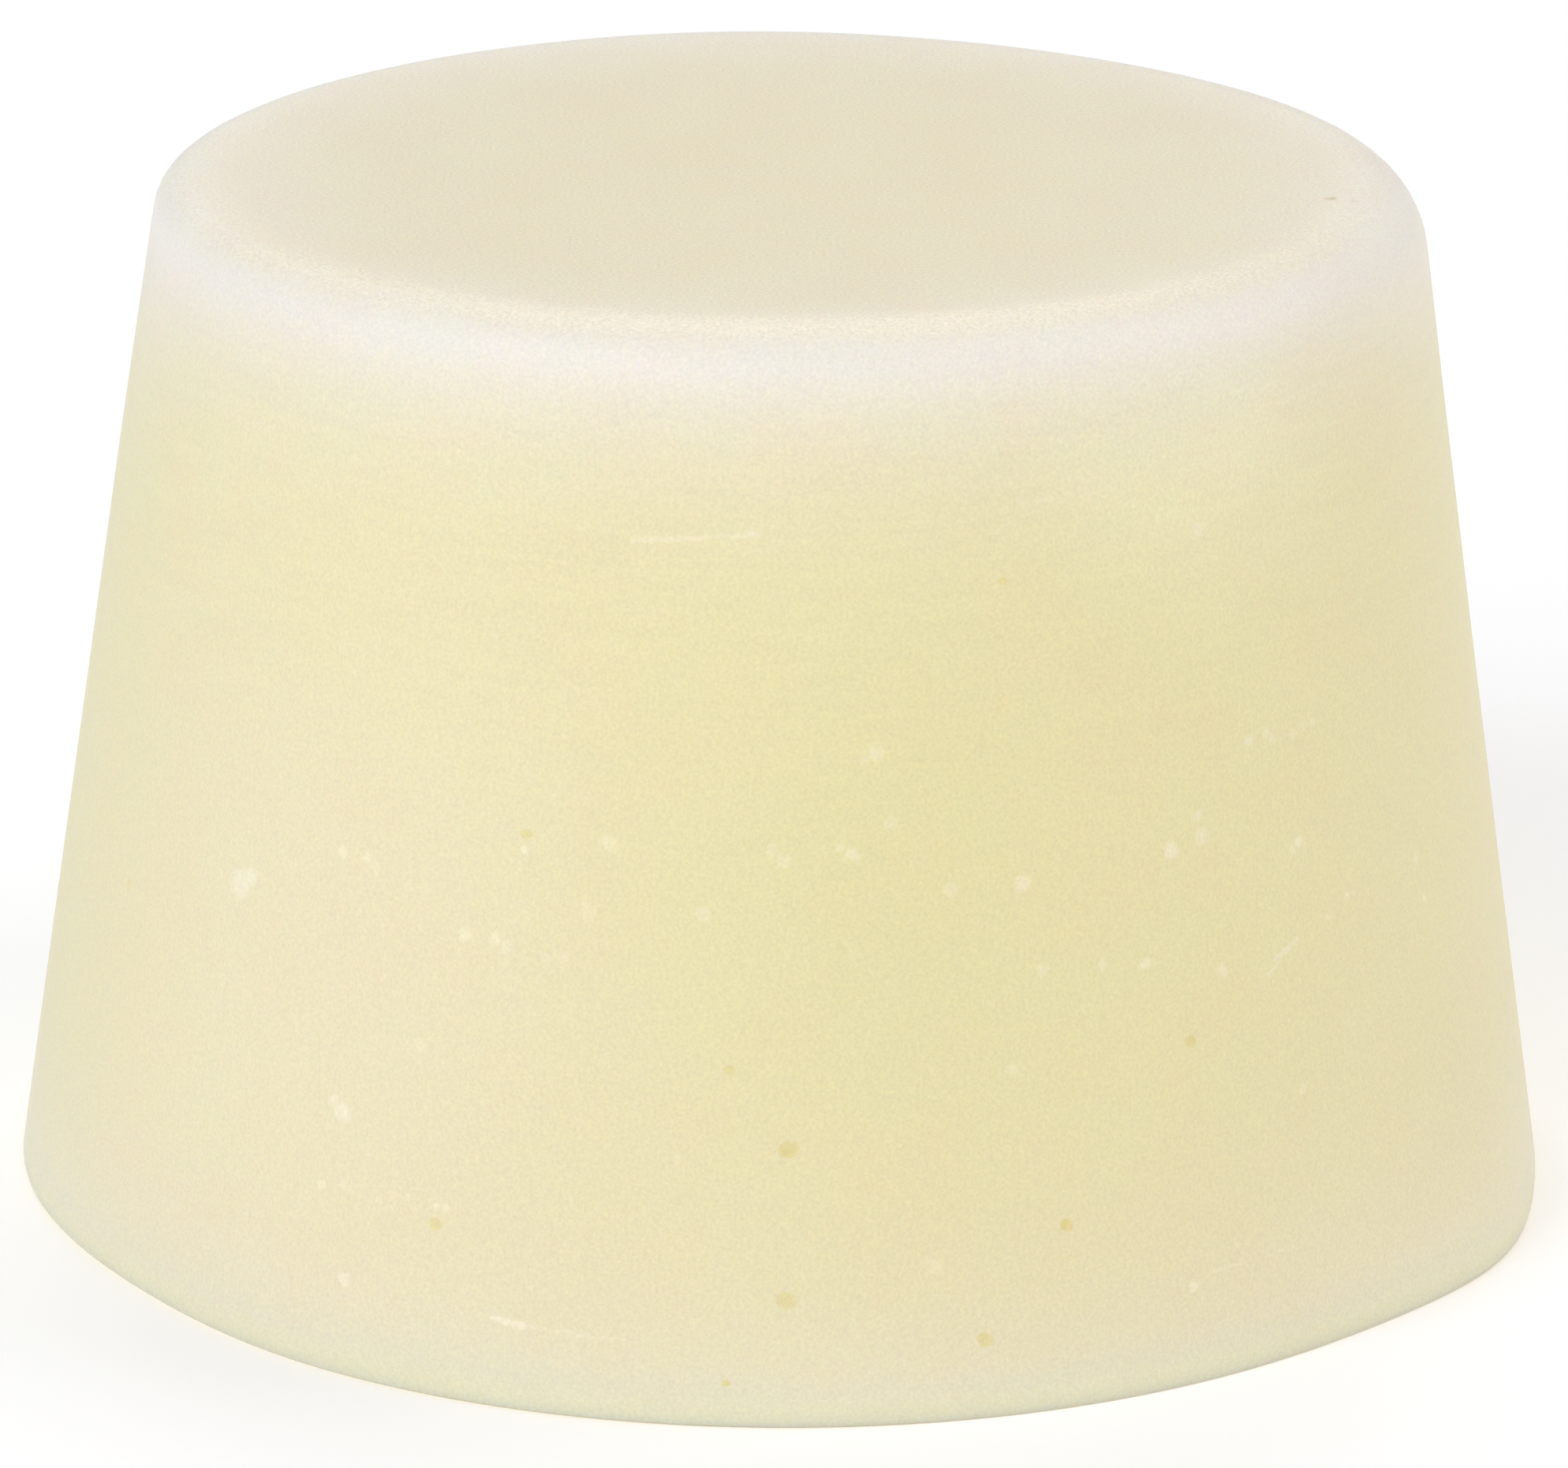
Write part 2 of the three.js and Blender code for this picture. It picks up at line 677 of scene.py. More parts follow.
    def material(self, section: Section) -> bpy.types.Material:
        """Build the soap's material.

        Args:
            section: The block's section, which places the dry edges.

        Returns:
            The material.
        """
        made = bpy.data.materials.new(self.name)
        made.use_nodes = True
        tree = made.node_tree
        tree.nodes.clear()
        place = add(tree, "ShaderNodeTexCoord").outputs["Object"]
        height = add(tree, "ShaderNodeSeparateXYZ", {0: place}).outputs["Z"]
        on_top = add(
            tree,
            RANGE,
            {
                "Value": height,
                "From Min": section.height - self.side_until,
                "From Max": section.height - self.top_from,
            },
            interpolation_type="SMOOTHSTEP",
        ).outputs[0]
        tear = add(
            tree, "ShaderNodeTexNoise", {"Vector": place, "Scale": 1 / self.ragged_width, "Detail": 2.0}
        )
        set_back = add(tree, VECTOR, {0: place, 1: (self.ragged_depth,) * 3}, operation="SUBTRACT")
        ragged = add(
            tree,
            VECTOR,
            {0: tear.outputs["Color"], 1: (2 * self.ragged_depth,) * 3, 2: set_back.outputs[0]},
            operation="MULTIPLY_ADD",
        ).outputs[0]
        pits, scuffs, bubbles = (
            self.marked(tree, ragged, kind, section)
            for kind in (Blemish.PIT, Blemish.SCUFF, Blemish.BUBBLE)
        )
        scratches = self.scraped(tree, ragged, section)
        # The cut hollows are painted darker: painted shade.
        burst = add(tree, "ShaderNodeAttribute", attribute_name="burst").outputs["Fac"]
        hollow = add(tree, MATH, {0: burst, 1: self.hollow_strength}, operation="MULTIPLY").outputs[0]
        colour = self.layered(
            tree,
            self.coloured_with_painted_light(tree, place, on_top, section),
            [
                (bubbles, self.pale_bubble),
                # Painted shade in the cut hollows and in the named pits.
                (hollow, self.painted_pit_shade),
                (pits, self.painted_pit_shade),
                (scuffs, self.rubbed),
                (scratches, self.rubbed),
                # Painted shade in the nicks in the top face.
                (self.dented(tree, ragged, section), self.painted_dent_shade),
            ],
        )
        cloud = add(
            tree, "ShaderNodeTexNoise", {"Vector": place, "Scale": 1 / self.cloud_width, "Detail": 4.0}
        ).outputs["Fac"]
        low, high = self.cloud_range
        tint = add(
            tree,
            RANGE,
            {"Value": cloud, "From Min": low, "From Max": high},
            interpolation_type="SMOOTHSTEP",
        )
        blush = add(
            tree,
            "ShaderNodeMix",
            {0: tint.outputs[0], 6: linear(self.warm_blush), 7: linear(self.cool_blush)},
            data_type="RGBA",
        )
        colour = add(
            tree,
            "ShaderNodeMix",
            {0: 1.0, 6: colour, 7: blush.outputs[2]},
            data_type="RGBA",
            blend_type="MULTIPLY",
        ).outputs[2]
        grain = add(
            tree, "ShaderNodeTexNoise", {"Vector": place, "Scale": 1 / self.grain_width, "Detail": 2.0}
        ).outputs["Fac"]
        # The top face is seen edge-on from most places, so its grain is drawn with more contrast.
        contrast = add(
            tree,
            MATH,
            {0: on_top, 1: self.extra_top_contrast, 2: self.grain_contrast},
            operation="MULTIPLY_ADD",
        )
        speck = add(tree, MATH, {0: grain, 1: 0.5}, operation="SUBTRACT")
        shade = add(
            tree,
            MATH,
            {0: speck.outputs[0], 1: contrast.outputs[0], 2: self.mould_lines(tree, place, section)},
            operation="MULTIPLY_ADD",
        )
        colour = add(
            tree, "ShaderNodeHueSaturation", {"Value": shade.outputs[0], "Color": colour}
        ).outputs[0]
        rough = add(
            tree,
            MATH,
            {0: cloud, 1: self.roughness_spread, 2: self.roughness - self.roughness_spread / 2},
            operation="MULTIPLY_ADD",
        )
        relief = add(
            tree,
            MATH,
            {0: self.highest(tree, [scuffs, scratches]), 1: -1.0, 2: grain},
            operation="MULTIPLY_ADD",
        )
        bump = add(
            tree,
            "ShaderNodeBump",
            {
                "Strength": self.relief_strength,
                "Distance": self.relief_depth,
                "Height": relief.outputs[0],
            },
        )
        skin = add(
            tree,
            "ShaderNodeBsdfPrincipled",
            {
                "Base Color": colour,
                "Roughness": rough.outputs[0],
                "IOR": self.ior,
                "Normal": bump.outputs[0],
                "Subsurface Weight": 1.0,
                "Subsurface Radius": self.scatter,
                "Subsurface Scale": self.scatter_depth,
            },
            subsurface_method="RANDOM_WALK",
        )
        add(tree, "ShaderNodeOutputMaterial", {"Surface": skin.outputs["BSDF"]})
        return made


@dataclass
class SoapBlock:
    """The puck itself."""

    section: Section
    soap: CastSoap = field(default_factory=CastSoap)
    turn_steps: int = 481
    row_steps: int = 151
    tight_rim: float = 1.4 * MM
    soft_rim: float = 3.2 * MM
    soft_side: float = math.radians(-25)
    unevenness: float = 0.06 * MM
    lean: float = 0.2 * MM
    # The swells are about 14 mm wide and the ripples on them about 3 mm.
    swells_per_metre: float = 70.0
    ripples_per_metre: float = 330.0
    ripple_share: float = 0.15
    # The foot stays flat, so the unevenness comes in over this height.
    even_foot: float = 4 * MM
    # How high an out-of-round place reaches from its end, as a share of the height.
    slump_height: float = 0.3
    corner_steps: int = 16
    # Shares of the rows against shares of the section's length, to crowd rows onto the corners.
    row_spread: tuple[tuple[float, float], ...] = (
        (0.05, 0.22), (0.12, 0.315), (0.16, 0.329), (0.72, 0.715), (0.84, 0.778), (0.94, 0.88),
    )
    # Edges that turn more than this, in radians, are shaded sharp.
    crease_angle: float = 0.4
    weld_distance: float = 1e-6
    # The pits in the back, for each square metre before the gap between them thins them out.
    pits_in_the_back: float = 3000.0
    pit_gap: float = 4 * MM
    pit_widths: tuple[float, float] = (0.3 * MM, 0.7 * MM)
    pits_behind: float = 6 * MM
    pit_heights: tuple[float, float] = (3 * MM, 34 * MM)
    place_seed: int = 11
    width_seed: int = 3
    # A pit's length, width and depth, as shares of its width, and how ragged its edge is.
    pit_shape: tuple[float, float, float] = (1.0, 0.8, 0.2)
    pit_raggedness: float = 0.12
    # The torn edges' teeth are about 0.6 mm apart.
    tears_per_metre: float = 1800.0

    def profile_curve(self, tree: Tree, given: Node, rim: Socket) -> Socket:
        """Draw half of the section in geometry nodes, with its two corners rounded.

        Args:
            tree: The geometry tree.
            given: The tree's input node.
            rim: The radius of the rim's rounding.

        Returns:
            The curve from the middle of the foot to the middle of the top.
        """
        points = add(tree, "GeometryNodeMeshLine", {"Count": 4})
        index = add(tree, "GeometryNodeInputIndex").outputs[0]
        corners = (
            {},
            {"X": given.outputs["Foot radius"]},
            {"X": given.outputs["Top radius"], "Z": given.outputs["Height"]},
            {"Z": given.outputs["Height"]},
        )
        chosen = add(tree, "GeometryNodeIndexSwitch", data_type="VECTOR")
        while len(chosen.index_switch_items) < len(corners):
            chosen.index_switch_items.new()
        tree.links.new(index, chosen.inputs["Index"])
        for number, corner in enumerate(corners, start=1):
            tree.links.new(add(tree, "ShaderNodeCombineXYZ", corner).outputs[0], chosen.inputs[number])
        placed = add(
            tree,
            "GeometryNodeSetPosition",
            {"Geometry": points.outputs[0], "Position": chosen.outputs[0]},
        )
        line = add(tree, "GeometryNodeMeshToCurve", {"Mesh": placed.outputs[0]})
        at_rim = add(tree, "FunctionNodeCompare", {2: index, 3: 2}, data_type="INT", operation="EQUAL")
        radius = add(
            tree,
            "GeometryNodeSwitch",
            {"Switch": at_rim.outputs[0], "False": given.outputs["Foot rounding"], "True": rim},
            input_type="FLOAT",
        )
        rounded = add(
            tree,
            "GeometryNodeFilletCurve",
            {
                "Curve": line.outputs[0],
                "Radius": radius.outputs[0],
                "Count": self.corner_steps,
                "Limit Radius": True,
            },
            mode="POLY",
        )
        return rounded.outputs[0]

    def out_of_round(self, tree: Tree, given: Node, place: Socket, height: Socket) -> Socket:
        """Work out how the block's slumps and its slight lean move each point.

        Args:
            tree: The geometry tree.
            given: The tree's input node.
            place: The position on the turned section.
            height: That position's height.

        Returns:
            The offset.
        """
        level = add(tree, VECTOR, {0: place, 1: (1, 1, 0)}, operation="MULTIPLY").outputs[0]
        facing = add(tree, VECTOR, {0: level}, operation="NORMALIZE").outputs[0]
        share = add(tree, MATH, {0: height, 1: given.outputs["Height"]}, operation="DIVIDE").outputs[0]
        total: Any = 0.0
        for swell in SWELLS:
            turn = math.radians(swell.turn)
            toward = (math.sin(turn), -math.cos(turn), 0.0)
            along = add(tree, VECTOR, {0: facing, 1: toward}, operation="DOT_PRODUCT")
            narrow = 1 / math.radians(swell.spread) ** 2
            fade = add(
                tree,
                MATH,
                {0: along.outputs["Value"], 1: narrow, 2: -narrow},
                operation="MULTIPLY_ADD",
            )
            near = add(tree, MATH, {0: fade.outputs[0]}, operation="EXPONENT")
            reach = add(
                tree,
                RANGE,
                {
                    "Value": share,
                    "From Min": self.slump_height if swell.at_foot else 1 - self.slump_height,
                    "From Max": 0.0 if swell.at_foot else 1.0,
                    "To Max": swell.amount,
                },
                interpolation_type="SMOOTHSTEP",
            )
            total = add(
                tree,
                MATH,
                {0: near.outputs[0], 1: reach.outputs[0], 2: total},
                operation="MULTIPLY_ADD",
            ).outputs[0]
        distance = add(tree, MATH, {0: total, 1: given.outputs["Swell"]}, operation="MULTIPLY")
        share_out = add(
            tree,
            MATH,
            {0: distance.outputs[0], 1: given.outputs["Top radius"]},
            operation="DIVIDE",
        )
        out = add(tree, VECTOR, {0: level, "Scale": share_out.outputs[0]}, operation="SCALE")
        lean = add(tree, MATH, {0: share, 1: given.outputs["Lean"]}, operation="MULTIPLY")
        aside = add(tree, "ShaderNodeCombineXYZ", {"X": lean.outputs[0]})
        return add(tree, VECTOR, {0: out.outputs[0], 1: aside.outputs[0]}, operation="ADD").outputs[0]

    def burst_bubbles(self, tree: Tree, given: Node, shell: Socket) -> Socket:
        """Make the small ragged hollows that burst bubbles leave.

        They come at the named places, and are scattered over the back of the side.

        Args:
            tree: The geometry tree.
            given: The tree's input node.
            shell: The block's skin.

        Returns:
            The hollows as solids to cut away.
        """
        where = add(tree, "GeometryNodeInputPosition").outputs[0]
        place = add(tree, "ShaderNodeSeparateXYZ", {0: where})
        limits = (
            (place.outputs["Y"], "GREATER_THAN", self.pits_behind),
            (place.outputs["Z"], "GREATER_THAN", self.pit_heights[0]),
            (place.outputs["Z"], "LESS_THAN", self.pit_heights[1]),
        )
        behind: Any = None
        for value, side, limit in limits:
            test = add(
                tree, "FunctionNodeCompare", {0: value, 1: limit}, data_type="FLOAT", operation=side
            ).outputs[0]
            behind = test if behind is None else add(
                tree, "FunctionNodeBooleanMath", {0: behind, 1: test}, operation="AND"
            ).outputs[0]
        spread = add(
            tree,
            "GeometryNodeDistributePointsOnFaces",
            {
                "Mesh": shell,
                "Selection": behind,
                "Distance Min": self.pit_gap,
                "Density Max": given.outputs["Pits in the back"],
                "Seed": self.place_seed,
            },
            distribute_method="POISSON",
        )
        chance = add(
            tree,
            "FunctionNodeRandomValue",
            {2: self.pit_widths[0], 3: self.pit_widths[1], "Seed": self.width_seed},
            data_type="FLOAT",
        )
        sized = add(
            tree,
            "GeometryNodeStoreNamedAttribute",
            {"Geometry": spread.outputs["Points"], "Name": "width", "Value": chance.outputs[1]},
            data_type="FLOAT",
            domain="POINT",
        )
        faced = add(
            tree,
            "GeometryNodeStoreNamedAttribute",
            {"Geometry": sized.outputs[0], "Name": "facing", "Value": spread.outputs["Normal"]},
            data_type="FLOAT_VECTOR",
            domain="POINT",
        )
        named = add(tree, "GeometryNodeMeshToPoints", {"Mesh": given.outputs["Pit places"]})
        on_skin = add(tree, "GeometryNodeProximity", {0: shell}, target_element="FACES")
        settled = add(
            tree,
            "GeometryNodeSetPosition",
            {"Geometry": named.outputs[0], "Position": on_skin.outputs["Position"]},
        )
        places = add(tree, "GeometryNodeJoinGeometry")
        tree.links.new(faced.outputs[0], places.inputs[0])
        tree.links.new(settled.outputs[0], places.inputs[0])
        facing, width = (
            add(tree, "GeometryNodeInputNamedAttribute", {"Name": name}, data_type=kind)
            for name, kind in (("facing", "FLOAT_VECTOR"), ("width", "FLOAT"))
        )
        aimed = add(tree, "FunctionNodeAlignRotationToVector", {"Vector": facing.outputs[0]}, axis="Z")
        shape = add(tree, VECTOR, {0: self.pit_shape, "Scale": width.outputs[0]}, operation="SCALE")
        ball = add(tree, "GeometryNodeMeshIcoSphere", {"Radius": 0.5, "Subdivisions": 3})
        placed = add(
            tree,
            "GeometryNodeInstanceOnPoints",
            {
                "Points": places.outputs[0],
                "Instance": ball.outputs[0],
                "Rotation": aimed.outputs[0],
                "Scale": shape.outputs[0],
            },
        )
        solid = add(tree, "GeometryNodeRealizeInstances", {"Geometry": placed.outputs[0]})
        ragged = add(
            tree,
            "ShaderNodeTexNoise",
            {"Vector": where, "Scale": self.tears_per_metre, "Detail": 2.0},
        )
        centred = add(tree, VECTOR, {0: ragged.outputs["Color"], 1: (0.5,) * 3}, operation="SUBTRACT")
        rough = add(tree, MATH, {0: width.outputs[0], 1: self.pit_raggedness}, operation="MULTIPLY")
        push = add(tree, VECTOR, {0: centred.outputs[0], "Scale": rough.outputs[0]}, operation="SCALE")
        torn = add(
            tree, "GeometryNodeSetPosition", {"Geometry": solid.outputs[0], "Offset": push.outputs[0]}
        )
        return add(
            tree,
            "GeometryNodeStoreNamedAttribute",
            {"Geometry": torn.outputs[0], "Name": "burst", "Value": 1.0},
            data_type="FLOAT",
            domain="FACE",
        ).outputs[0]

    def pit_places(self) -> bpy.types.Mesh:
        """Set out the named pits and dents as loose points, each with its width and facing.

        Returns:
            A mesh of points.
        """
        section, upwards = self.section, Vector((0, 0, 1))
        spots = [
            (section.on_side(pit.turn, pit.height * MM), pit.width, section.side_normal(pit.turn))
            for pit in MARKS[Blemish.PIT]
        ]
        spots += [(dent.place(section), dent.width, upwards) for dent in DENTS]
        mesh = bpy.data.meshes.new("pit_places")
        mesh.from_pydata([place for place, _, _ in spots], [], [])
        widths = mesh.attributes.new("width", "FLOAT", "POINT")
        facings = mesh.attributes.new("facing", "FLOAT_VECTOR", "POINT")
        for number, (_, width, facing) in enumerate(spots):
            widths.data[number].value = width * MM
            facings.data[number].vector = facing
        return mesh

    def lathe_tree(self) -> Tree:
        """Build the tree that turns the section about its axis and makes it a little uneven.

        Returns:
            The geometry tree, with the block's sizes as its inputs.
        """
        tree = bpy.data.node_groups.new("turn_the_section", "GeometryNodeTree")
        tree.interface.new_socket("Pit places", in_out="INPUT", socket_type="NodeSocketGeometry")
        tree.interface.new_socket("Geometry", in_out="OUTPUT", socket_type="NodeSocketGeometry")
        for name in (
            "Foot radius",
            "Top radius",
            "Height",
            "Foot rounding",
            "Tight rim",
            "Soft rim",
            "Soft side",
            "Unevenness",
            "Lean",
            "Swell",
            "Pits in the back",
        ):
            tree.interface.new_socket(name, in_out="INPUT", socket_type="NodeSocketFloat")
        for name in ("Turn steps", "Row steps"):
            tree.interface.new_socket(name, in_out="INPUT", socket_type="NodeSocketInt")
        tree.interface.new_socket("Soap", in_out="INPUT", socket_type="NodeSocketMaterial")
        given = add(tree, "NodeGroupInput")
        grid = add(
            tree,
            "GeometryNodeMeshGrid",
            {
                "Size X": 1.0,
                "Size Y": 1.0,
                "Vertices X": given.outputs["Turn steps"],
                "Vertices Y": given.outputs["Row steps"],
            },
        )
        spot = add(tree, "ShaderNodeSeparateXYZ", {0: add(tree, "GeometryNodeInputPosition").outputs[0]})
        turn = add(tree, MATH, {0: spot.outputs["X"], 1: math.tau}, operation="MULTIPLY")
        along = add(tree, MATH, {0: spot.outputs["Y"], 1: 0.5}, operation="ADD")
        spread = add(tree, "ShaderNodeFloatCurve", {"Value": along.outputs[0]})
        line = spread.mapping.curves[0]
        for at, share in self.row_spread:
            line.points.new(at, share)
        for point in line.points:
            point.handle_type = "VECTOR"
        spread.mapping.update()
        off_soft = add(
            tree,
            MATH,
            {0: turn.outputs[0], 1: given.outputs["Soft side"]},
            operation="SUBTRACT",
        )
        around = add(tree, MATH, {0: off_soft.outputs[0]}, operation="COSINE")
        soft = add(tree, RANGE, {"Value": around.outputs[0], "From Min": -1.0, "From Max": 1.0})
        sections = (
            self.profile_curve(tree, given, given.outputs[rim]) for rim in ("Tight rim", "Soft rim")
        )
        tight, loose = (
            add(
                tree,
                "GeometryNodeSampleCurve",
                {"Curves": curve, "Factor": spread.outputs[0]},
                mode="FACTOR",
                use_all_curves=True,
            ).outputs["Position"]
            for curve in sections
        )
        mixed = add(tree, "ShaderNodeMix", {0: soft.outputs[0], 4: tight, 5: loose}, data_type="VECTOR")
        turned = add(
            tree,
            "ShaderNodeVectorRotate",
            {"Vector": mixed.outputs[1], "Axis": (0, 0, 1), "Angle": turn.outputs[0]},
            rotation_type="AXIS_ANGLE",
        )
        shell = add(
            tree,
            "GeometryNodeSetPosition",
            {"Geometry": grid.outputs["Mesh"], "Position": turned.outputs[0]},
        )
        closed = add(
            tree,
            "GeometryNodeMergeByDistance",
            {"Geometry": shell.outputs[0], "Distance": self.weld_distance},
        )
        place = add(tree, "GeometryNodeInputPosition").outputs[0]
        height = add(tree, "ShaderNodeSeparateXYZ", {0: place}).outputs["Z"]
        off_floor = add(
            tree,
            RANGE,
            {"Value": height, "From Min": 0.0, "From Max": self.even_foot},
            interpolation_type="SMOOTHSTEP",
        )
        swell, ripple = (
            add(tree, "ShaderNodeTexNoise", {"Vector": place, "Scale": scale, "Detail": 1.0})
            for scale in (self.swells_per_metre, self.ripples_per_metre)
        )
        both = add(
            tree,
            MATH,
            {0: ripple.outputs["Fac"], 1: self.ripple_share, 2: swell.outputs["Fac"]},
            operation="MULTIPLY_ADD",
        )
        halfway = 0.5 * (1 + self.ripple_share)
        centred = add(tree, MATH, {0: both.outputs[0], 1: halfway}, operation="SUBTRACT")
        depth = add(
            tree,
            MATH,
            {0: centred.outputs[0], 1: given.outputs["Unevenness"]},
            operation="MULTIPLY",
        )
        held = add(tree, MATH, {0: depth.outputs[0], 1: off_floor.outputs[0]}, operation="MULTIPLY")
        normal = add(tree, "GeometryNodeInputNormal").outputs[0]
        offset = add(tree, VECTOR, {0: normal, "Scale": held.outputs[0]}, operation="SCALE")
        moved = add(
            tree,
            VECTOR,
            {0: offset.outputs[0], 1: self.out_of_round(tree, given, place, height)},
            operation="ADD",
        )
        uneven = add(
            tree, "GeometryNodeSetPosition", {"Geometry": closed.outputs[0], "Offset": moved.outputs[0]}
        )
        pitted = add(
            tree,
            "GeometryNodeMeshBoolean",
            {"Mesh 1": uneven.outputs[0], "Mesh 2": self.burst_bubbles(tree, given, uneven.outputs[0])},
            operation="DIFFERENCE",
            solver="EXACT",
        )
        smooth = add(tree, "GeometryNodeSetShadeSmooth", {"Geometry": pitted.outputs[0]})
        crease = add(
            tree,
            "FunctionNodeCompare",
            {0: add(tree, "GeometryNodeInputMeshEdgeAngle").outputs[0], 1: self.crease_angle},
            data_type="FLOAT",
            operation="GREATER_THAN",
        )
        sharp = add(
            tree,
            "GeometryNodeSetShadeSmooth",
            {"Geometry": smooth.outputs[0], "Selection": crease.outputs[0], "Shade Smooth": False},
            domain="EDGE",
        )
        whole = add(tree, "GeometryNodeRealizeInstances", {"Geometry": sharp.outputs[0]})
        dressed = add(
            tree,
            "GeometryNodeSetMaterial",
            {"Geometry": whole.outputs[0], "Material": given.outputs["Soap"]},
        )
        add(tree, "NodeGroupOutput", {0: dressed.outputs[0]})
        return tree

    def build(self) -> bpy.types.Object:
        """Turn the block and settle it on the frame.

        Returns:
            The finished piece.
        """
        tree = self.lathe_tree()
        holder = bpy.data.objects.new("turning", self.pit_places())
        bpy.context.scene.collection.objects.link(holder)
        lathe = holder.modifiers.new("turning", "NODES")
        lathe.node_group = tree
        sizes = {
            "Foot radius": self.section.foot,
            "Top radius": self.section.top,
            "Height": self.section.height,
            "Foot rounding": self.section.foot_round,
            "Tight rim": self.tight_rim,
            "Soft rim": self.soft_rim,
            "Soft side": self.soft_side,
            "Unevenness": self.unevenness,
            "Lean": self.lean,
            "Swell": MM,
            "Pits in the back": self.pits_in_the_back,
            "Turn steps": self.turn_steps,
            "Row steps": self.row_steps,
            "Soap": self.soap.material(self.section),
        }
        for item in tree.interface.items_tree:
            if item.name in sizes:
                lathe[item.identifier] = sizes[item.name]
        evaluated = holder.evaluated_get(bpy.context.evaluated_depsgraph_get())
        mesh = bpy.data.meshes.new_from_object(evaluated)
        bpy.data.objects.remove(holder)
        mesh.name = "soap_block"
        block = bpy.data.objects.new("soap_block", mesh)
        bpy.context.scene.collection.objects.link(block)
        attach(block, "root")
        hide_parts("soap_puck")
        return block


@dataclass(frozen=True)
class Softbox:
    """A soft square studio light, hung round the puck and turned to face it."""

    name: str
    round_from_front: float
    elevation: float
    power: float
    colour: str = "#ffffff"
    distance: float = 0.9
    size: float = 0.5

    def hang(self, aim: Vector) -> bpy.types.Object:
        """Hang the light and point it.

        Args:
            aim: The point it faces.

        Returns:
            The light.
        """
        lamp = bpy.data.lights.new(self.name, "AREA")
        lamp.shape = "SQUARE"
        lamp.size = self.size
        lamp.energy = self.power
        lamp.color = linear(self.colour)[:3]
        light = bpy.data.objects.new(self.name, lamp)
        bpy.context.scene.collection.objects.link(light)
        turn, up = math.radians(self.round_from_front), math.radians(self.elevation)
        back = Vector((math.sin(turn) * math.cos(up), -math.cos(turn) * math.cos(up), math.sin(up)))
        light.location = aim + back * self.distance
        light.rotation_mode = "QUATERNION"
        light.rotation_quaternion = back.to_track_quat("Z", "Y")
        return light


@dataclass(frozen=True)
class MattPaper:
    """White seamless studio paper: dead matt, and lit a little from below as a light table is."""

    name: str = "matt_white_paper"
    white: str = "#f8f8f8"
    roughness: float = 0.9
    glow: float = 0.14

    def material(self) -> bpy.types.Material:
        """Build the paper's material.

        Returns:
            The material.
        """
        made = bpy.data.materials.new(self.name)
        made.use_nodes = True
        tree = made.node_tree
        tree.nodes.clear()
        skin = add(
            tree,
            "ShaderNodeBsdfPrincipled",
            {
                "Base Color": linear(self.white),
                "Roughness": self.roughness,
                "Specular IOR Level": 0.0,
                "Emission Color": (1, 1, 1, 1),
                "Emission Strength": self.glow,
            },
        )
        add(tree, "ShaderNodeOutputMaterial", {"Surface": skin.outputs["BSDF"]})
        return made


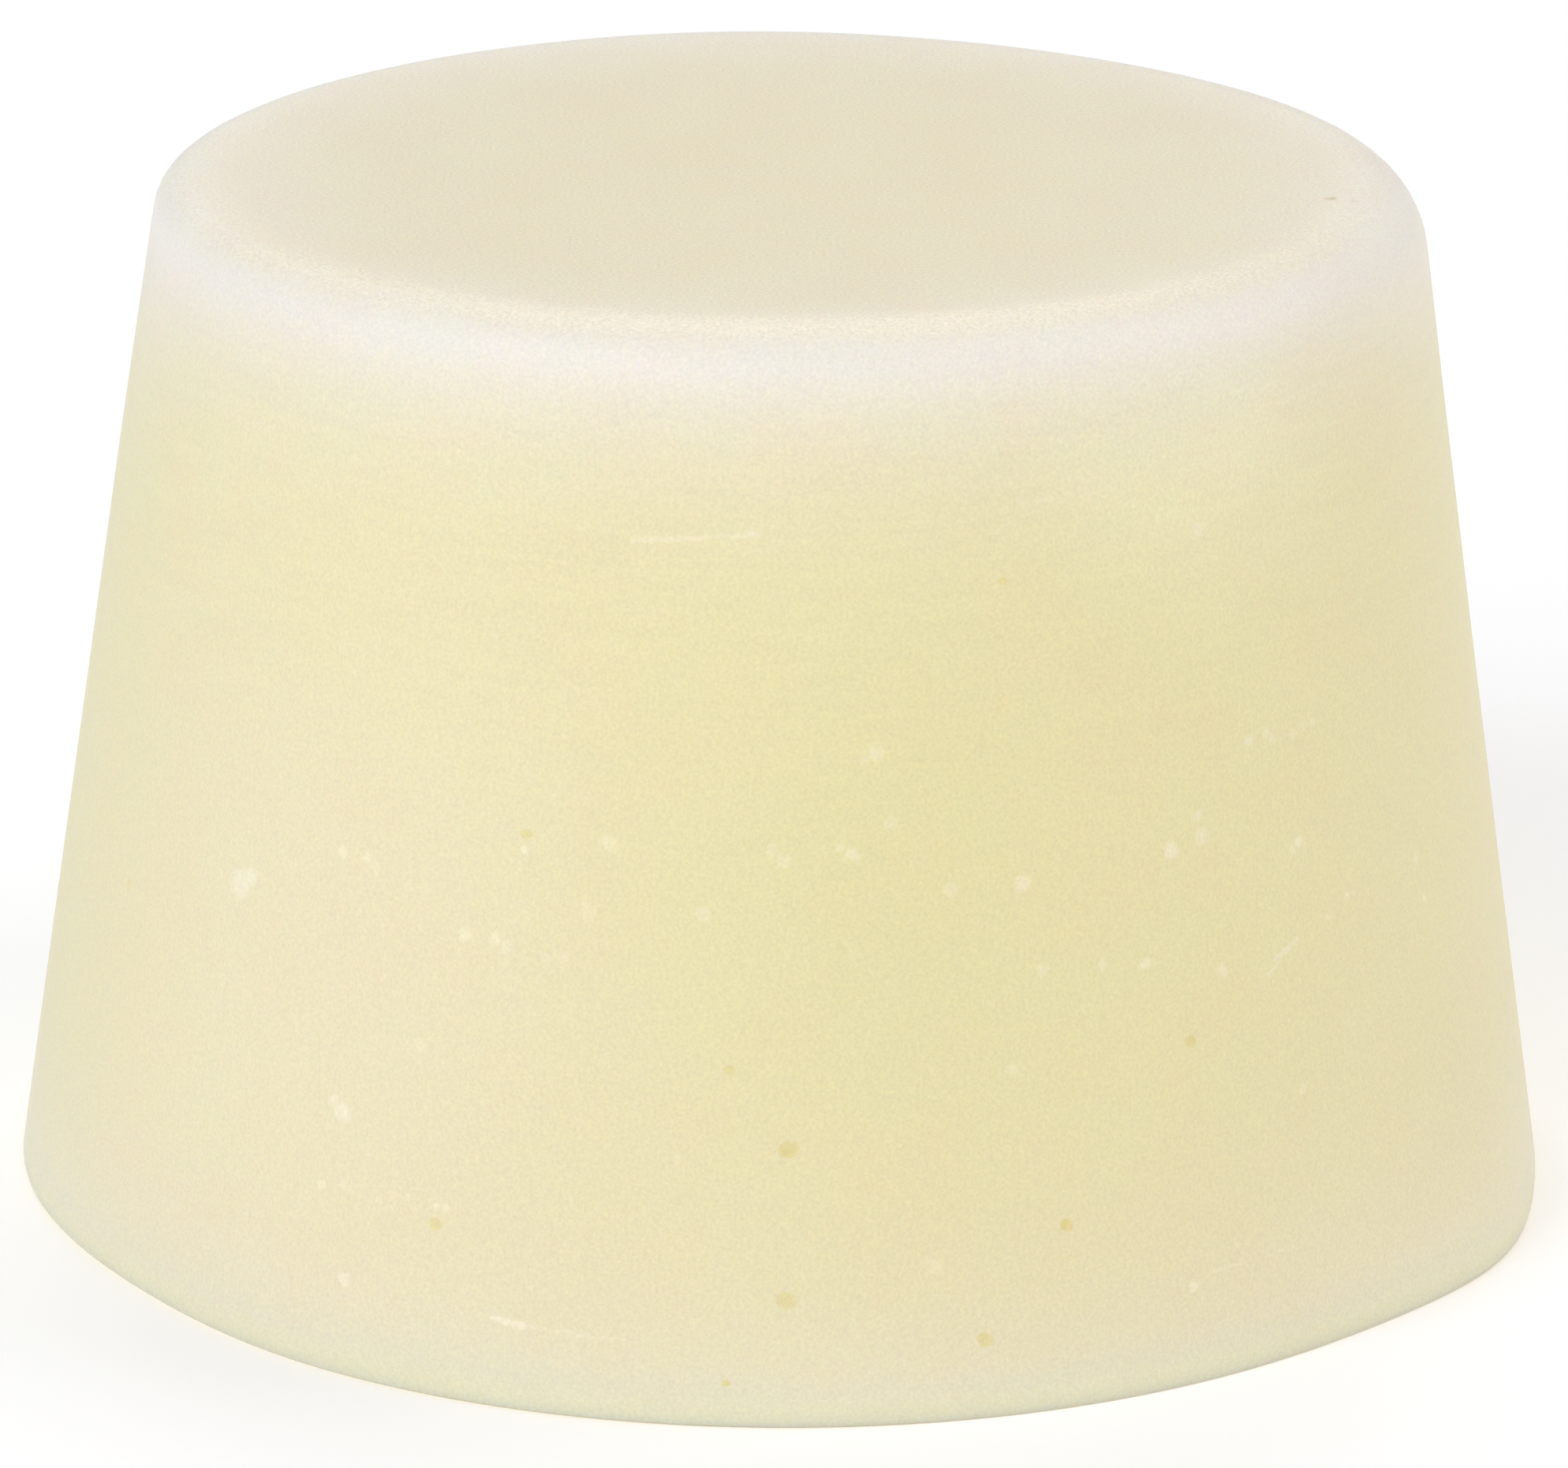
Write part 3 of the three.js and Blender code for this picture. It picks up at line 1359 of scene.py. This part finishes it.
@dataclass
class Studio:
    """The white sweep, the lights and the camera round the puck."""

    height: float
    paper: MattPaper = field(default_factory=MattPaper)
    sweep_reach: float = 3.0
    elevation: float = math.radians(17.72)
    distance: float = 0.305
    lens: float = 176.6
    sensor: float = 36.0
    nearest: float = 0.01
    furthest: float = 10.0
    roll: float = math.radians(0.25)
    aim_drop: float = 3.17 * MM
    aim_right: float = 0.16 * MM
    world: float = 0.395
    lights: tuple[Softbox, ...] = (
        Softbox("front", 0, 45, 0.6),
        Softbox("low_front", 0, 15, 0.8),
        Softbox("key", -45, 35, 3.22, "#edf2ff"),
        Softbox("fill", 90, 35, 2.0, "#fff9fb"),
        Softbox("behind", 180, 50, 2.0),
    )

    def surround(self) -> None:
        """Make the world an even white."""
        scene = bpy.context.scene
        scene.world = bpy.data.worlds.new("white_room")
        scene.world.use_nodes = True
        tree = scene.world.node_tree
        tree.nodes.clear()
        glow = add(tree, "ShaderNodeBackground", {"Color": (1, 1, 1, 1), "Strength": self.world})
        add(tree, "ShaderNodeOutputWorld", {"Surface": glow.outputs[0]})
        scene.view_settings.view_transform = "Standard"

    def floor(self) -> None:
        """Lay the white sweep."""
        mesh = bpy.data.meshes.new("sweep")
        reach = self.sweep_reach
        corners = [(-reach, -reach, 0), (reach, -reach, 0), (reach, reach, 0), (-reach, reach, 0)]
        mesh.from_pydata(corners, [], [(0, 1, 2, 3)])
        mesh.materials.append(self.paper.material())
        sweep = bpy.data.objects.new("sweep", mesh)
        bpy.context.scene.collection.objects.link(sweep)

    def camera(self) -> None:
        """Stand the camera in front, a little above the puck, with a long lens."""
        data = bpy.data.cameras.new("camera")
        data.lens, data.sensor_width, data.sensor_fit = self.lens, self.sensor, "AUTO"
        data.clip_start, data.clip_end = self.nearest, self.furthest
        camera = bpy.data.objects.new("camera", data)
        bpy.context.scene.collection.objects.link(camera)
        middle = Vector((0, 0, self.height / 2))
        back = Vector((0, -math.cos(self.elevation), math.sin(self.elevation)))
        place = middle + back * self.distance
        aim = middle + Vector((self.aim_right, 0, -self.aim_drop))
        look = (aim - place).to_track_quat("-Z", "Y").to_matrix().to_4x4()
        camera.matrix_world = Matrix.Translation(place) @ look @ Matrix.Rotation(self.roll, 4, "Z")
        bpy.context.scene.camera = camera

    def build(self) -> None:
        """Set up the world, the sweep, the camera and the lights."""
        self.surround()
        self.floor()
        self.camera()
        for box in self.lights:
            box.hang(Vector((0, 0, self.height / 2)))


def main() -> None:
    """Build the puck and its studio, piece by piece."""
    logging.basicConfig(level=logging.INFO, format="%(message)s")
    section = Section.from_node("soap_puck")
    studio = Studio(section.height)
    studio.build()
    log.info("studio: %d lights", len(studio.lights))
    block = SoapBlock(section).build()
    log.info("%s: %d faces", block.name, len(block.data.polygons))


if __name__ == "__main__":
    main()
